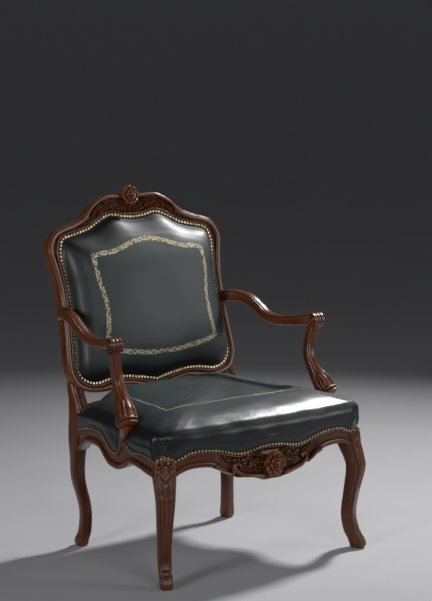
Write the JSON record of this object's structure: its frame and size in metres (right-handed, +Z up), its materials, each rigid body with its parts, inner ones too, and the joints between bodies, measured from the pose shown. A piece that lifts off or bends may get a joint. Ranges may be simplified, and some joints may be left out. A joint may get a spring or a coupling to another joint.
{
  "type": "fauteuil",
  "caption": "Carved open armchair with a shaped back, curved arms and legs, and a stuffed dark green leather seat and back edged with a gilt band and brass nails.",
  "frame": {"origin": "on the floor, under the middle of the whole chair", "axes": "+Z up, +X to the sitter's left hand side, that is to the right of someone who looks at the front of the chair, +Y from the front of the chair to its back"},
  "size_m": [0.74, 0.6908, 0.9721],
  "materials": {
    "carved_wood": "waxed and polished, medium dark red brown",
    "corner_block_wood": "raw, planed",
    "peg_wood": "raw, cleft",
    "screw_steel": "dull",
    "leather": "glossy dark bottle green, with a gilt tooled band",
    "stuffing": "curled hair",
    "burlap": "coarse plain weave",
    "webbing": "tight jute strap",
    "brass_nails": "aged, domed and polished by wear"
  },
  "bodies": {
    "root": {"front_leg_right": "carved_wood", "front_leg_left": "carved_wood", "rear_post_right": "carved_wood", "rear_post_left": "carved_wood", "front_seat_rail": "carved_wood", "side_seat_rail_right": "carved_wood", "side_seat_rail_left": "carved_wood", "rear_seat_rail": "carved_wood", "crest_rail": "carved_wood", "lower_back_rail": "carved_wood", "arm_right": "carved_wood", "arm_left": "carved_wood", "arm_support_right": "carved_wood", "arm_support_left": "carved_wood", "corner_block_front_right": "corner_block_wood", "corner_block_front_left": "corner_block_wood", "corner_block_rear_right": "corner_block_wood", "corner_block_rear_left": "corner_block_wood", "frame_pegs": "peg_wood", "arm_screws": "screw_steel", "block_screws": "screw_steel", "seat_leather_cover": "leather", "back_leather_cover": "leather", "back_outside_cover": "leather", "seat_stuffing": "stuffing", "back_stuffing": "stuffing", "seat_burlap": "burlap", "back_burlap": "burlap", "seat_webbing_lengthwise": "webbing", "seat_webbing_crosswise": "webbing", "back_webbing_upright": "webbing", "back_webbing_level": "webbing", "seat_nails": "brass_nails", "back_nails": "brass_nails", "back_outside_nails": "brass_nails"}
  },
  "joints": []
}
